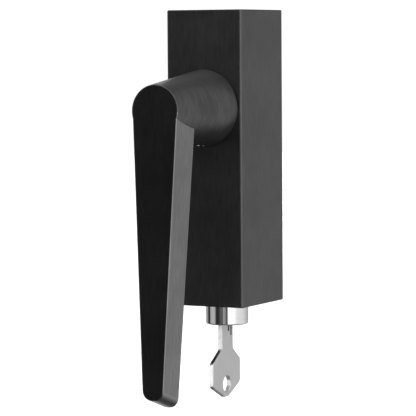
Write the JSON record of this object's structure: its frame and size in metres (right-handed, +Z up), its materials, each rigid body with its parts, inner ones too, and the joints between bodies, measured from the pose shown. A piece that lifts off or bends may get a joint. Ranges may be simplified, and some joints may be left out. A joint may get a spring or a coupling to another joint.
{
  "type": "lockable window handle",
  "caption": "Lockable window handle: a tapering lever on a box housing that turns a square spindle, with a key-driven bolt, lock barrel and key.",
  "frame": {"origin": "on the handle's axis at the sash face, midway between the two fixing holes", "axes": "+Y into the sash along the spindle, -Y to the room, +Z up, +X to the user's right"},
  "size_m": [0.034, 0.1058, 0.1589],
  "materials": {
    "black_finish": "satin black, brushed lengthwise",
    "zinc_casting": "die-cast, matt grey",
    "zinc_plate": "zinc plated",
    "bright_steel": "bright steel",
    "dark_steel": "black oxide",
    "nylon": "moulded",
    "chromed_brass": "satin chrome",
    "brass": "stamped",
    "key_nickel": "nickel plated, satin"
  },
  "bodies": {
    "housing": {"housing": "black_finish", "base_plate": "zinc_plate", "spindle_guide": "nylon", "housing_set_screws": "dark_steel", "thrust_washer": "nylon", "front_bush": "nylon", "detent_balls": "bright_steel", "detent_springs": "bright_steel", "mechanism_case": "zinc_casting", "case_cover": "zinc_plate", "case_screws": "bright_steel", "cover_screws": "bright_steel", "lock_barrel": "chromed_brass", "barrel_dowel": "bright_steel"},
    "handle": {"lever_handle": "black_finish", "spindle": "bright_steel", "handle_grub_screw": "dark_steel", "hub_retaining_ring": "dark_steel", "index_disc": "bright_steel", "stop_pin": "bright_steel"},
    "lock_bolt": {"lock_bolt": "bright_steel"},
    "plug": {"lock_plug": "chromed_brass", "wafers": "brass", "wafer_springs": "bright_steel", "plug_clip": "bright_steel", "cam_pin": "bright_steel"},
    "key": {"key": "key_nickel"}
  },
  "joints": [
    {"name": "handle_turn", "type": "hinge", "parent": "housing", "child": "handle", "pos_m": [0, 0, 0], "axis": [0, -1, 0], "range_deg": [0, 180]},
    {"name": "bolt_lift", "type": "slide", "parent": "housing", "child": "lock_bolt", "axis": [0, 0, 1], "range_m": [0, 0.0045]},
    {"name": "lock_turn", "type": "hinge", "parent": "housing", "child": "plug", "pos_m": [0, -0.0177, -0.0755], "axis": [0, 0, 1], "range_deg": [0, 90]},
    {"name": "key_withdraw", "type": "slide", "parent": "plug", "child": "key", "axis": [0, 0, -1], "range_m": [0, 0.028]}
  ],
  "couplings": [
    {"joint": "lock_turn", "follows": "bolt_lift", "rad_per_m": 349.07}
  ]
}
